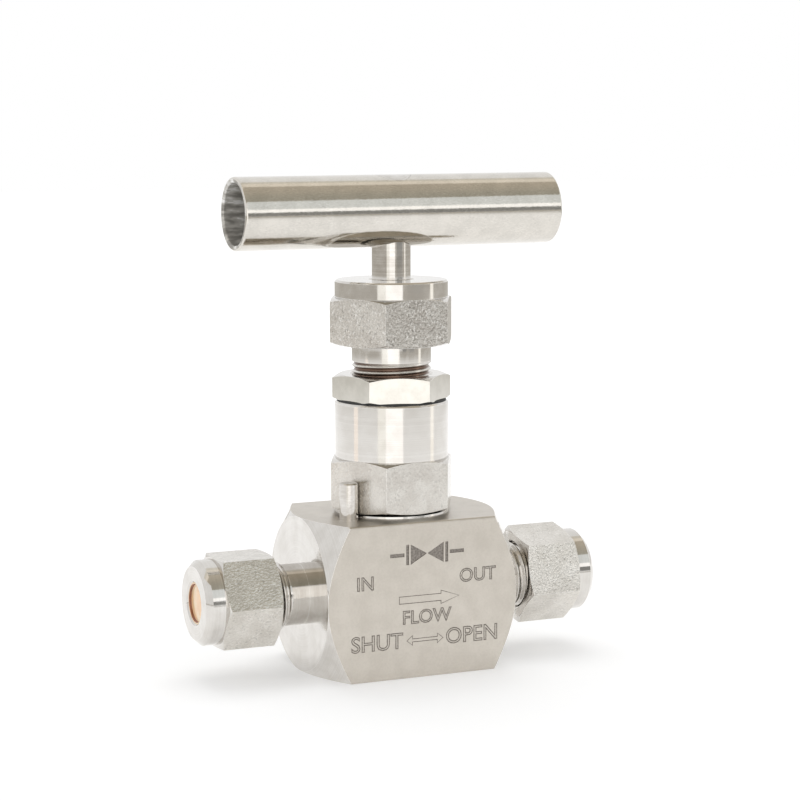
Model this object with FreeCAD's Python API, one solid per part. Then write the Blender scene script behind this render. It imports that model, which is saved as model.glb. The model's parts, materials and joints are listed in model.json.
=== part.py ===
import FreeCAD, Part
import math
import os

from FreeCAD import Vector

# Needle valve with a bar handle and two tube ports, in millimetres and degrees.
# Origin: centre of the body's flat base. +X is the flow direction, -Y the marked face, +Z the stem.

# ---- Body ----
BAR_WIDTH = 25.4            # square bar, across Y
BAR_HEIGHT = 25.4           # square bar, along Z
BAR_EDGE_ROUND = 0.35       # broken long edges of the bar
PORT_HEIGHT = 12.7          # flow axis above the base
END_FACE_X = 16.6           # turned end face from the stem axis
END_FACE_RADIUS = 12.7      # where the turned end face meets its cone
END_CONE_ANGLE = 53.0       # cone on the bar's corners, from the flow axis
COLLAR_WIDTH = 1.3          # low collar round the threaded neck
COLLAR_HEIGHT = 0.65
NECK_HEIGHT = 9.15
CHAMBER_RADIUS = 5.05
SEAT_RADIUS = 2.0           # orifice under the needle
SEAT_HEIGHT = 4.3           # chamber floor above the flow axis
SEAT_FACE_DEPTH = 1.0       # conical seat face
INLET_WAY_RADIUS = 1.5
OUTLET_WAY_RADIUS = 1.4
OUTLET_WAY_RISE = 2.9       # centre of the slanted way above the chamber floor, at the chamber wall
WAY_START = 0.5             # how far inside the socket a way's drilling starts

# ---- Tube ports ----
PORT_NECK_WALL = 1.785
PORT_THREAD_WALL = 2.335    # makes a 7/16 inch thread
PORT_LENGTH = 12.4          # from the turned end face to the port's end
PORT_THREAD_LENGTH = 6.0
SOCKET_RADIUS = 3.215       # takes 1/4 inch tube
SOCKET_LENGTH = 5.0
MOUTH_LENGTH = 3.0          # cone that the front ferrule closes into
MOUTH_ANGLE = 20.0
FINE_PITCH = 1.27           # 20 threads per inch, on the ports and the bonnet neck

# ---- Tube nuts, ferrules and shipping plugs ----
TUBE_NUT_WALL = 1.595       # over the port's thread, makes 9/16 inch across flats
TUBE_NUT_LENGTH = 12.6
TUBE_NUT_HEX_LENGTH = 9.5
TUBE_NUT_ROOF = 3.15        # from the back ferrule to the nut's end
TUBE_NUT_SHOULDER = 0.245   # the round part is this much smaller than the flats
TUBE_NUT_END_CHAMFER = 0.95
TUBE_NUT_BORE_CHAMFER = 0.4
INLET_NUT_TURN = -0.7       # where a corner points, upwards from -Y
OUTLET_NUT_TURN = -15.4
FRONT_FERRULE_REACH = 2.2   # into the port's mouth
FRONT_FERRULE_TAIL = 1.2    # out of the port's mouth
BACK_FERRULE_NOSE = 0.55
BACK_FERRULE_LENGTH = 1.25
BACK_FERRULE_WALL = 0.85
PLUG_RECESS = 0.45          # plug face inside the nut's end
PLUG_LENGTH = 7.0
PLUG_WALL = 0.8
PLUG_DISH = 0.15

# ---- Lock pin ----
PIN_RADIUS = 1.5
PIN_STANDS_OUT = 5.9
PIN_DEPTH = 6.0
PIN_CHAMFER = 0.2
PIN_OFFSET = -0.77          # along the nut's flat, from its middle
PIN_FLAT_GAP = 0.18

# ---- Bonnet and its nut ----
BONNET_NUT_WALL = 1.525     # over the body's neck, makes 3/4 inch across flats
BONNET_NUT_HEX_HEIGHT = 8.45
BONNET_NUT_ROUND_HEIGHT = 9.2
BONNET_NUT_ROUND_WALL = 1.32
BONNET_NUT_ROOF = 2.2
BONNET_NUT_TURN = 2.1       # where a corner points, from +X
BONNET_FLANGE_STEP = 1.1    # flange beyond the bonnet's neck
BONNET_WALL = 1.7           # round the packing chamber
BONNET_THREAD_TOP = 2.65    # lower thread runs this far above the panel nut
SPIGOT_LENGTH = 7.2

# ---- Panel nut and its washer ----
PANEL_WASHER_THICKNESS = 0.3
PANEL_WASHER_WIDTH = 2.35
PANEL_NUT_WALL = 2.0        # makes 17 mm across flats
PANEL_NUT_HEIGHT = 4.1
PANEL_NUT_FOOT_WALL = 2.6
PANEL_NUT_TURN = -14.9
PANEL_SPACE = 4.9           # free neck from the panel nut to the packing nut

# ---- Packing nut, gland and packing ----
PACKING_NUT_WALL = 3.025    # makes 3/4 inch across flats
PACKING_NUT_HEX_HEIGHT = 7.75
PACKING_NUT_ROUND_HEIGHT = 2.75
PACKING_NUT_ROUND_WALL = 2.75
PACKING_NUT_ROOF = 2.0
PACKING_NUT_TURN = 1.6
PACKING_SECTION = 1.625     # width of the packing round the stem
PACKING_CHAMBER_DEPTH = 8.3
PACKING_WASHER_HEIGHT = 0.8
PACKING_RING_COUNT = 3
PACKING_RING_HEIGHT = 1.3
CHEVRON_RISE = 0.35
GLAND_FLANGE_STEP = 1.1
GLAND_FLANGE_HEIGHT = 0.6
PACKING_TAKE_UP = 0.6       # left between the gland's flange and the bonnet

# ---- Stems ----
STEM_RADIUS = 3.175         # 1/4 inch
STEM_THREAD_STEP = 0.825
STEM_THREAD_LENGTH = 7.0
STEM_PITCH = 1.0
STEM_LIFT = 4.0             # closed to open
BACK_STOP_WEB = 1.0         # web over the stem thread, under the packing
BACK_STOP_GAP = 0.6         # left over the thread when fully open
NEEDLE_RADIUS = 3.0
NEEDLE_HALF_ANGLE = 30.0
NEEDLE_TIP_RADIUS = 0.8
NEEDLE_SEAT_GAP = 0.03
HEAD_RADIUS = 2.2
HEAD_HEIGHT = 2.05
HEAD_NECK_RADIUS = 1.55
HEAD_NECK_SHOWS = 1.4       # between the needle's shoulder and the upper stem
HEAD_POCKET_FLOOR = 1.2     # upper stem left under the head

# ---- Handle ----
HANDLE_RADIUS = 5.88
HANDLE_WALL = 0.9
HANDLE_LENGTH = 55.68
HANDLE_OFFSET = 0.585       # the stem isn't quite at the middle
HANDLE_TURN = 0.3
HANDLE_RISE = 11.1          # handle axis above the packing nut
HANDLE_RIM_ROUND = 0.35

# ---- Fits ----
SPIGOT_CLEARANCE = 0.05
PIN_CLEARANCE = 0.01
STEM_CLEARANCE = 0.05
STEM_WEB_CLEARANCE = 0.12
STEM_NUT_CLEARANCE = 0.325
FLANGE_CLEARANCE = 0.4
TUBE_BORE_CLEARANCE = 0.035
FERRULE_POCKET_CLEARANCE = 0.1
THREAD_CLEARANCE = 0.05
FERRULE_CLEARANCE = 0.08
PLUG_CLEARANCE = 0.05
PACKING_CLEARANCE = 0.05
GLAND_SEAT_GAP = 0.03
INLET_WAY_CLEARANCE = 0.1    # web between each way and the flow axis, at the socket's floor
OUTLET_WAY_CLEARANCE = 0.22
HANDLE_HOLE_CLEARANCE = 0.02
HEAD_CLEARANCE = 0.15
HEAD_TOP_CLEARANCE = 0.05
NECK_CLEARANCE = 0.1
HEX_CHAMFER_ANGLE = 23.0
THREAD_DEPTH_SHARE = 0.5413  # of the pitch, for a 60 degree thread
CORNER_BREAK = 0.3
THREAD_RELIEF = 0.6          # plain end of a thread
ROOT = 1.0                   # how far a joined shape reaches into its neighbour

# ---- Radii that follow ----
STEM_THREAD_RADIUS = STEM_RADIUS + STEM_THREAD_STEP
STEM_GUIDE_RADIUS = NEEDLE_RADIUS + STEM_CLEARANCE
PACKING_CHAMBER_RADIUS = STEM_RADIUS + PACKING_SECTION
PACKING_NUT_BORE = STEM_RADIUS + STEM_NUT_CLEARANCE
GLAND_FLANGE_RADIUS = PACKING_CHAMBER_RADIUS + GLAND_FLANGE_STEP
BONNET_NECK_RADIUS = PACKING_CHAMBER_RADIUS + BONNET_WALL
BONNET_FLANGE_RADIUS = BONNET_NECK_RADIUS + BONNET_FLANGE_STEP
NECK_RADIUS = BONNET_FLANGE_RADIUS + FLANGE_CLEARANCE
COLLAR_RADIUS = NECK_RADIUS + COLLAR_WIDTH
BONNET_NUT_AF = 2 * (NECK_RADIUS + BONNET_NUT_WALL)
BONNET_NUT_ROUND_RADIUS = NECK_RADIUS + BONNET_NUT_ROUND_WALL
PANEL_NUT_AF = 2 * (BONNET_NECK_RADIUS + PANEL_NUT_WALL)
PANEL_NUT_FOOT_RADIUS = BONNET_NECK_RADIUS + PANEL_NUT_FOOT_WALL
PACKING_NUT_AF = 2 * (BONNET_NECK_RADIUS + PACKING_NUT_WALL)
PACKING_NUT_ROUND_RADIUS = BONNET_NECK_RADIUS + PACKING_NUT_ROUND_WALL
PORT_NECK_RADIUS = SOCKET_RADIUS + PORT_NECK_WALL
PORT_THREAD_RADIUS = SOCKET_RADIUS + PORT_THREAD_WALL
TUBE_NUT_AF = 2 * (PORT_THREAD_RADIUS + TUBE_NUT_WALL)
TUBE_NUT_ROUND_RADIUS = TUBE_NUT_AF / 2 - TUBE_NUT_SHOULDER
TUBE_NUT_BORE = SOCKET_RADIUS + TUBE_BORE_CLEARANCE
FERRULE_BORE = TUBE_NUT_BORE
BACK_FERRULE_RADIUS = FERRULE_BORE + BACK_FERRULE_WALL

# ---- Heights and lengths that follow ----
COLLAR_TOP = BAR_HEIGHT + COLLAR_HEIGHT
NECK_TOP = COLLAR_TOP + NECK_HEIGHT
BONNET_HEX_TOP = COLLAR_TOP + BONNET_NUT_HEX_HEIGHT
BONNET_NUT_TOP = BONNET_HEX_TOP + BONNET_NUT_ROUND_HEIGHT
BONNET_FLANGE_TOP = BONNET_NUT_TOP - BONNET_NUT_ROOF
PANEL_NUT_FOOT = BONNET_NUT_TOP + PANEL_WASHER_THICKNESS
PANEL_NUT_TOP = PANEL_NUT_FOOT + PANEL_NUT_HEIGHT
PACKING_NUT_FOOT = PANEL_NUT_TOP + PANEL_SPACE
PACKING_HEX_TOP = PACKING_NUT_FOOT + PACKING_NUT_HEX_HEIGHT
PACKING_NUT_TOP = PACKING_HEX_TOP + PACKING_NUT_ROUND_HEIGHT
GLAND_TOP = PACKING_NUT_TOP - PACKING_NUT_ROOF
BONNET_TOP = GLAND_TOP - GLAND_FLANGE_HEIGHT - PACKING_TAKE_UP
PACKING_FLOOR = BONNET_TOP - PACKING_CHAMBER_DEPTH
STEM_THREAD_CEILING = PACKING_FLOOR - BACK_STOP_WEB
STEM_THREAD_TOP = STEM_THREAD_CEILING - BACK_STOP_GAP - STEM_LIFT
STEM_FOOT = STEM_THREAD_TOP - STEM_THREAD_LENGTH
NEEDLE_SHOULDER = STEM_FOOT - HEAD_NECK_SHOWS
STEM_THREAD_FLOOR = (NEEDLE_SHOULDER + STEM_FOOT) / 2
CHAMBER_FLOOR = PORT_HEIGHT + SEAT_HEIGHT
INLET_WAY_HEIGHT = PORT_HEIGHT - INLET_WAY_RADIUS - INLET_WAY_CLEARANCE
OUTLET_WAY_HEIGHT = PORT_HEIGHT + OUTLET_WAY_RADIUS + OUTLET_WAY_CLEARANCE
HANDLE_HEIGHT = PACKING_NUT_TOP + HANDLE_RISE
PORT_END_X = END_FACE_X + PORT_LENGTH
MOUTH_X = PORT_END_X - MOUTH_LENGTH
SOCKET_FLOOR_X = MOUTH_X - SOCKET_LENGTH
BACK_FERRULE_X = PORT_END_X + FRONT_FERRULE_TAIL
FERRULE_POCKET_END_X = BACK_FERRULE_X + BACK_FERRULE_LENGTH
TUBE_NUT_END_X = FERRULE_POCKET_END_X + TUBE_NUT_ROOF
TUBE_NUT_X = TUBE_NUT_END_X - TUBE_NUT_LENGTH
TUBE_NUT_HEX_END_X = TUBE_NUT_X + TUBE_NUT_HEX_LENGTH

UP = Vector(0, 0, 1)
ALONG = Vector(1, 0, 0)
ACROSS = Vector(0, 1, 0)
ORIGIN = Vector(0, 0, 0)


def revolve(outline):
    """Solid turned about Z from a closed outline of (radius, height) points."""
    points = [Vector(radius, 0, height) for radius, height in outline]
    face = Part.Face(Part.makePolygon(points + points[:1]))
    return face.revolve(ORIGIN, UP, 360)


def thread(crest, pitch, low, high, way):
    """Outline points of ring grooves, from low to high. way is -1 for a screw and +1 for a nut."""
    root = crest + way * THREAD_DEPTH_SHARE * pitch
    count = int((high - low) / pitch)
    start = (low + high - count * pitch) / 2
    points = []
    for number in range(count):
        at = start + number * pitch
        points += [(crest, at), (root, at + 0.3125 * pitch)]
        points += [(root, at + 0.5625 * pitch), (crest, at + 0.875 * pitch)]
    return points


def hexagon(across_flats, low, high, turn, foot_flat, top_flat):
    """Hexagon bar about Z, whose corners are turned off by cones from the two flat radii."""
    corner = across_flats / math.sqrt(3)
    points = []
    for side in range(7):
        angle = math.radians(turn + 60 * side)
        points.append(Vector(corner * math.cos(angle), corner * math.sin(angle), low))
    bar = Part.Face(Part.makePolygon(points)).extrude(Vector(0, 0, high - low))
    slope = math.tan(math.radians(HEX_CHAMFER_ANGLE))
    limit = [(0, low), (foot_flat, low)]
    limit.append((corner + CORNER_BREAK, low + (corner + CORNER_BREAK - foot_flat) * slope))
    limit.append((corner + CORNER_BREAK, high - (corner + CORNER_BREAK - top_flat) * slope))
    limit += [(top_flat, high), (0, high)]
    return bar.common(revolve(limit))


def on_port(shape, side):
    """Turn a shape made about +Z on to a port's axis: side is +1 for the outlet and -1 for the inlet."""
    shape = shape.copy()
    shape.rotate(ORIGIN, ACROSS, 90 * side)
    shape.translate(Vector(0, 0, PORT_HEIGHT))
    return shape


def port_blank():
    """Outside of one threaded port, about Z."""
    thread_low = PORT_END_X - THREAD_RELIEF - PORT_THREAD_LENGTH
    thread_high = PORT_END_X - THREAD_RELIEF
    outline = [(0, 0), (PORT_NECK_RADIUS, 0), (PORT_NECK_RADIUS, thread_low)]
    outline += thread(PORT_THREAD_RADIUS, FINE_PITCH, thread_low, thread_high, -1)
    outline += [(PORT_THREAD_RADIUS, thread_high), (PORT_NECK_RADIUS, PORT_END_X), (0, PORT_END_X)]
    return revolve(outline)


def mouth_radius(along):
    """Radius of the port's mouth cone at a distance along the flow axis."""
    return SOCKET_RADIUS + (along - MOUTH_X) * math.tan(math.radians(MOUTH_ANGLE))


def port_socket():
    """Hole in one port, about Z: the tube socket and its conical mouth."""
    return revolve([
        (0, SOCKET_FLOOR_X),
        (SOCKET_RADIUS, SOCKET_FLOOR_X),
        (SOCKET_RADIUS, MOUTH_X),
        (mouth_radius(PORT_END_X), PORT_END_X),
        (0, PORT_END_X),
    ])


def pin_centre():
    """Middle of the lock pin, beside a flat of the bonnet nut."""
    angle = math.radians(BONNET_NUT_TURN - 150)
    normal = Vector(math.cos(angle), math.sin(angle), 0)
    sideways = Vector(-math.sin(angle), math.cos(angle), 0)
    reach = BONNET_NUT_AF / 2 + PIN_FLAT_GAP + PIN_RADIUS
    return normal * reach + sideways * PIN_OFFSET


def inlet_way():
    """Drilling from the inlet socket's floor to the orifice, below the flow axis."""
    length = SOCKET_FLOOR_X + WAY_START
    return Part.makeCylinder(INLET_WAY_RADIUS, length, Vector(-length, 0, INLET_WAY_HEIGHT), ALONG)


def outlet_way():
    """Drilling from the outlet socket's floor up to the chamber, above the seat."""
    floor = Vector(SOCKET_FLOOR_X, 0, OUTLET_WAY_HEIGHT)
    wall = Vector(CHAMBER_RADIUS, 0, CHAMBER_FLOOR + OUTLET_WAY_RISE)
    run = wall - floor
    start = floor - run * (WAY_START / run.Length)
    return Part.makeCylinder(OUTLET_WAY_RADIUS, run.Length + WAY_START + OUTLET_WAY_RADIUS, start, run)


def seat_chamber():
    """Hole down the stem axis: the chamber, the conical seat face and the orifice."""
    seat_edge = SEAT_RADIUS + SEAT_FACE_DEPTH * math.tan(math.radians(NEEDLE_HALF_ANGLE))
    return revolve([
        (0, INLET_WAY_HEIGHT),
        (SEAT_RADIUS, INLET_WAY_HEIGHT),
        (SEAT_RADIUS, CHAMBER_FLOOR - SEAT_FACE_DEPTH),
        (seat_edge, CHAMBER_FLOOR),
        (CHAMBER_RADIUS, CHAMBER_FLOOR),
        (CHAMBER_RADIUS, NECK_TOP),
        (0, NECK_TOP),
    ])


def bar_blank():
    """Square bar with broken edges and turned, coned ends."""
    bar = Part.makeBox(2 * END_FACE_X, BAR_WIDTH, BAR_HEIGHT, Vector(-END_FACE_X, -BAR_WIDTH / 2, 0))
    long_edges = [edge for edge in bar.Edges if abs(edge.tangentAt(0).x) > 0.9]
    bar = bar.makeFillet(BAR_EDGE_ROUND, long_edges)
    middle_radius = END_FACE_RADIUS + END_FACE_X * math.tan(math.radians(END_CONE_ANGLE))
    turned = revolve([
        (0, -END_FACE_X),
        (END_FACE_RADIUS, -END_FACE_X),
        (middle_radius, 0),
        (END_FACE_RADIUS, END_FACE_X),
        (0, END_FACE_X),
    ])
    return bar.common(on_port(turned, 1))


def valve_body():
    """Body: bar, ports, collar and threaded neck, with its ways, seat, chamber and pin hole."""
    neck = [(0, BAR_HEIGHT - ROOT), (COLLAR_RADIUS, BAR_HEIGHT - ROOT), (COLLAR_RADIUS, COLLAR_TOP)]
    neck.append((NECK_RADIUS, COLLAR_TOP))
    neck += thread(NECK_RADIUS, FINE_PITCH, COLLAR_TOP + THREAD_RELIEF, NECK_TOP - THREAD_RELIEF, -1)
    neck += [(NECK_RADIUS, NECK_TOP - CORNER_BREAK), (NECK_RADIUS - CORNER_BREAK, NECK_TOP), (0, NECK_TOP)]
    body = bar_blank().fuse(revolve(neck))
    for side in (-1, 1):
        body = body.fuse(on_port(port_blank(), side))
        body = body.cut(on_port(port_socket(), side))
    for hollow in (seat_chamber(), inlet_way(), outlet_way()):
        body = body.cut(hollow)
    hole = Part.makeCylinder(
        PIN_RADIUS + PIN_CLEARANCE, PIN_DEPTH + ROOT, pin_centre() + UP * (BAR_HEIGHT - PIN_DEPTH), UP
    )
    return body.cut(hole).removeSplitter()


def lock_pin():
    """Dowel beside the bonnet nut's flat."""
    low = BAR_HEIGHT - PIN_DEPTH
    high = BAR_HEIGHT + PIN_STANDS_OUT
    pin = revolve([
        (0, low),
        (PIN_RADIUS - PIN_CHAMFER, low),
        (PIN_RADIUS, low + PIN_CHAMFER),
        (PIN_RADIUS, high - PIN_CHAMFER),
        (PIN_RADIUS - PIN_CHAMFER, high),
        (0, high),
    ])
    pin.translate(pin_centre())
    return pin


def bonnet():
    """Bonnet: spigot, flange and long threaded neck, with the stem's guide, thread and packing chamber."""
    crest = BONNET_NECK_RADIUS
    outline = [(STEM_GUIDE_RADIUS, NECK_TOP - SPIGOT_LENGTH)]
    outline += [(CHAMBER_RADIUS - SPIGOT_CLEARANCE, NECK_TOP - SPIGOT_LENGTH)]
    outline += [(CHAMBER_RADIUS - SPIGOT_CLEARANCE, NECK_TOP), (BONNET_FLANGE_RADIUS, NECK_TOP)]
    outline += [(BONNET_FLANGE_RADIUS, BONNET_FLANGE_TOP), (crest, BONNET_FLANGE_TOP)]
    lower_top = PANEL_NUT_TOP + BONNET_THREAD_TOP
    outline += thread(crest, FINE_PITCH, BONNET_NUT_TOP, lower_top, -1)
    outline += thread(crest, FINE_PITCH, PACKING_NUT_FOOT + THREAD_RELIEF, BONNET_TOP - CORNER_BREAK, -1)
    outline += [(crest, BONNET_TOP - CORNER_BREAK), (crest - CORNER_BREAK, BONNET_TOP)]
    outline += [(PACKING_CHAMBER_RADIUS, BONNET_TOP), (PACKING_CHAMBER_RADIUS, PACKING_FLOOR)]
    web_bore = STEM_RADIUS + STEM_WEB_CLEARANCE
    outline += [(web_bore, PACKING_FLOOR), (web_bore, STEM_THREAD_CEILING)]
    bore = STEM_THREAD_RADIUS + THREAD_CLEARANCE
    outline += [(bore, STEM_THREAD_CEILING)]
    nut_thread_low = STEM_THREAD_FLOOR + CORNER_BREAK
    nut_thread_high = STEM_THREAD_CEILING - CORNER_BREAK
    outline += reversed(thread(bore, STEM_PITCH, nut_thread_low, nut_thread_high, 1))
    outline += [(bore, STEM_THREAD_FLOOR), (STEM_GUIDE_RADIUS, STEM_THREAD_FLOOR)]
    return revolve(outline)


def bonnet_nut():
    """Tall nut, hexagon below and round above, over the bonnet's flange."""
    flat = BONNET_NUT_AF / 2
    nut = hexagon(BONNET_NUT_AF, COLLAR_TOP, BONNET_HEX_TOP, BONNET_NUT_TURN, flat, flat)
    nut = nut.fuse(revolve([
        (0, BONNET_HEX_TOP - ROOT),
        (BONNET_NUT_ROUND_RADIUS, BONNET_HEX_TOP - ROOT),
        (BONNET_NUT_ROUND_RADIUS, BONNET_NUT_TOP - CORNER_BREAK),
        (BONNET_NUT_ROUND_RADIUS - CORNER_BREAK, BONNET_NUT_TOP),
        (0, BONNET_NUT_TOP),
    ]))
    bore = NECK_RADIUS + THREAD_CLEARANCE
    hole = [(0, COLLAR_TOP), (bore + CORNER_BREAK, COLLAR_TOP), (bore, COLLAR_TOP + CORNER_BREAK)]
    hole += thread(bore, FINE_PITCH, COLLAR_TOP + THREAD_RELIEF, NECK_TOP, 1)
    hole += [(bore, BONNET_FLANGE_TOP), (BONNET_NECK_RADIUS + NECK_CLEARANCE, BONNET_FLANGE_TOP)]
    hole += [(BONNET_NECK_RADIUS + NECK_CLEARANCE, BONNET_NUT_TOP), (0, BONNET_NUT_TOP)]
    return nut.cut(revolve(hole))


def panel_washer():
    """Thin rubber washer under the panel nut."""
    bore = BONNET_NECK_RADIUS + NECK_CLEARANCE
    outer = bore + PANEL_WASHER_WIDTH
    return revolve([
        (bore, BONNET_NUT_TOP),
        (outer, BONNET_NUT_TOP),
        (outer, PANEL_NUT_FOOT),
        (bore, PANEL_NUT_FOOT),
    ])


def panel_nut():
    """Thin polished nut that holds the valve in a panel."""
    flat = PANEL_NUT_AF / 2
    nut = hexagon(PANEL_NUT_AF, PANEL_NUT_FOOT, PANEL_NUT_TOP, PANEL_NUT_TURN, PANEL_NUT_FOOT_RADIUS, flat)
    bore = BONNET_NECK_RADIUS + THREAD_CLEARANCE
    hole = [(0, PANEL_NUT_FOOT), (bore + CORNER_BREAK, PANEL_NUT_FOOT)]
    hole += [(bore, PANEL_NUT_FOOT + CORNER_BREAK)]
    hole += thread(bore, FINE_PITCH, PANEL_NUT_FOOT + CORNER_BREAK, PANEL_NUT_TOP - CORNER_BREAK, 1)
    hole += [(bore, PANEL_NUT_TOP - CORNER_BREAK), (bore + CORNER_BREAK, PANEL_NUT_TOP), (0, PANEL_NUT_TOP)]
    return nut.cut(revolve(hole))


def packing_nut():
    """Nut over the top of the bonnet that presses the gland down."""
    flat = PACKING_NUT_AF / 2
    nut = hexagon(PACKING_NUT_AF, PACKING_NUT_FOOT, PACKING_HEX_TOP, PACKING_NUT_TURN, flat, flat)
    nut = nut.fuse(revolve([
        (0, PACKING_HEX_TOP - ROOT),
        (PACKING_NUT_ROUND_RADIUS, PACKING_HEX_TOP - ROOT),
        (PACKING_NUT_ROUND_RADIUS, PACKING_NUT_TOP - CORNER_BREAK),
        (PACKING_NUT_ROUND_RADIUS - CORNER_BREAK, PACKING_NUT_TOP),
        (0, PACKING_NUT_TOP),
    ]))
    bore = BONNET_NECK_RADIUS + THREAD_CLEARANCE
    hole = [(0, PACKING_NUT_FOOT), (bore + CORNER_BREAK, PACKING_NUT_FOOT)]
    hole += [(bore, PACKING_NUT_FOOT + CORNER_BREAK)]
    hole += thread(bore, FINE_PITCH, PACKING_NUT_FOOT + THREAD_RELIEF, BONNET_TOP, 1)
    hole += [(bore, GLAND_TOP), (PACKING_NUT_BORE, GLAND_TOP)]
    hole += [(PACKING_NUT_BORE, PACKING_NUT_TOP - CORNER_BREAK)]
    hole += [(PACKING_NUT_BORE + CORNER_BREAK, PACKING_NUT_TOP), (0, PACKING_NUT_TOP)]
    return nut.cut(revolve(hole))


def chevron_ring(low, high, low_rise):
    """Packing piece between two levels. Its top rises to a ridge midway across, and so may its underside."""
    inner = STEM_RADIUS + PACKING_CLEARANCE
    outer = PACKING_CHAMBER_RADIUS - PACKING_CLEARANCE
    ridge = (inner + outer) / 2
    underside = [(inner, low), (ridge, low + low_rise), (outer, low)]
    return revolve(underside + [(outer, high), (ridge, high + CHEVRON_RISE), (inner, high)])


def packing_washer():
    """Steel washer under the packing."""
    return chevron_ring(PACKING_FLOOR, PACKING_FLOOR + PACKING_WASHER_HEIGHT, 0)


def packing_rings():
    """Stack of soft chevron rings round the stem."""
    rings = []
    for number in range(PACKING_RING_COUNT):
        low = PACKING_FLOOR + PACKING_WASHER_HEIGHT + number * PACKING_RING_HEIGHT
        rings.append(chevron_ring(low, low + PACKING_RING_HEIGHT, CHEVRON_RISE))
    return Part.makeCompound(rings)


def packing_gland():
    """Flanged steel bush that squeezes the packing."""
    inner = STEM_RADIUS + PACKING_CLEARANCE
    outer = PACKING_CHAMBER_RADIUS - PACKING_CLEARANCE
    packing_top = PACKING_FLOOR + PACKING_WASHER_HEIGHT + PACKING_RING_COUNT * PACKING_RING_HEIGHT
    low = packing_top + GLAND_SEAT_GAP
    return revolve([
        (inner, low),
        ((inner + outer) / 2, low + CHEVRON_RISE),
        (outer, low),
        (outer, GLAND_TOP - GLAND_FLANGE_HEIGHT),
        (GLAND_FLANGE_RADIUS, GLAND_TOP - GLAND_FLANGE_HEIGHT),
        (GLAND_FLANGE_RADIUS, GLAND_TOP),
        (inner, GLAND_TOP),
    ])


def needle_height(radius):
    """Height at which the needle's cone has this radius, seated but for its small gap."""
    slope = math.tan(math.radians(NEEDLE_HALF_ANGLE))
    radial_gap = NEEDLE_SEAT_GAP / math.cos(math.radians(NEEDLE_HALF_ANGLE))
    seat_ring = CHAMBER_FLOOR - SEAT_FACE_DEPTH
    return seat_ring + (radius - SEAT_RADIUS + radial_gap) / slope


def head_floor():
    """Underside of the lower stem's head, just over its pocket's floor."""
    return STEM_FOOT + HEAD_POCKET_FLOOR + HEAD_CLEARANCE


def lower_stem():
    """Stem that doesn't turn: needle point below, button head above."""
    head_low = head_floor()
    head_high = head_low + HEAD_HEIGHT
    return revolve([
        (0, needle_height(NEEDLE_TIP_RADIUS)),
        (NEEDLE_TIP_RADIUS, needle_height(NEEDLE_TIP_RADIUS)),
        (NEEDLE_RADIUS, needle_height(NEEDLE_RADIUS)),
        (NEEDLE_RADIUS, NEEDLE_SHOULDER),
        (HEAD_NECK_RADIUS, NEEDLE_SHOULDER),
        (HEAD_NECK_RADIUS, head_low),
        (HEAD_RADIUS, head_low),
        (HEAD_RADIUS, head_high - CORNER_BREAK),
        (HEAD_RADIUS - CORNER_BREAK, head_high),
        (0, head_high),
    ])


def handle_bar(radius, length):
    """Solid bar along the handle's axis."""
    bar = Part.makeCylinder(radius, length, Vector(HANDLE_OFFSET - length / 2, 0, 0), ALONG)
    bar.rotate(ORIGIN, UP, HANDLE_TURN)
    bar.translate(Vector(0, 0, HANDLE_HEIGHT))
    return bar


def upper_stem():
    """Stem that turns: a thread and a head pocket below, and a plain shank riveted flush with the handle."""
    pocket = HEAD_RADIUS + HEAD_CLEARANCE
    throat = HEAD_NECK_RADIUS + HEAD_CLEARANCE
    pocket_low = STEM_FOOT + HEAD_POCKET_FLOOR
    pocket_high = head_floor() + HEAD_HEIGHT + HEAD_TOP_CLEARANCE
    top = HANDLE_HEIGHT + HANDLE_RADIUS + ROOT
    outline = [(throat, STEM_FOOT), (STEM_THREAD_RADIUS - CORNER_BREAK, STEM_FOOT)]
    outline += [(STEM_THREAD_RADIUS, STEM_FOOT + CORNER_BREAK)]
    thread_high = STEM_THREAD_TOP - CORNER_BREAK
    outline += thread(STEM_THREAD_RADIUS, STEM_PITCH, STEM_FOOT + 2 * CORNER_BREAK, thread_high, -1)
    outline += [(STEM_THREAD_RADIUS, thread_high), (STEM_RADIUS, STEM_THREAD_TOP)]
    outline += [(STEM_RADIUS, top), (0, top), (0, pocket_high), (pocket, pocket_high)]
    outline += [(pocket, pocket_low), (throat, pocket_low)]
    stem = revolve(outline)
    span = 3 * HANDLE_RADIUS
    above = Part.makeBox(span, span, span, Vector(-span / 2, -span / 2, HANDLE_HEIGHT))
    return stem.cut(above.cut(handle_bar(HANDLE_RADIUS, HANDLE_LENGTH)))


def handle_tube():
    """Tube handle, crossed by the stem through both walls."""
    bore = handle_bar(HANDLE_RADIUS - HANDLE_WALL, HANDLE_LENGTH + ROOT)
    bar = handle_bar(HANDLE_RADIUS, HANDLE_LENGTH).cut(bore)
    rims = [edge for edge in bar.Edges if edge.Closed and abs(edge.Curve.Axis.x) > 0.9]
    bar = bar.makeFillet(HANDLE_RIM_ROUND, rims)
    low = Vector(0, 0, HANDLE_HEIGHT - HANDLE_RADIUS - ROOT)
    hole = Part.makeCylinder(STEM_RADIUS + HANDLE_HOLE_CLEARANCE, 2 * (HANDLE_RADIUS + ROOT), low, UP)
    return bar.cut(hole)


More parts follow.
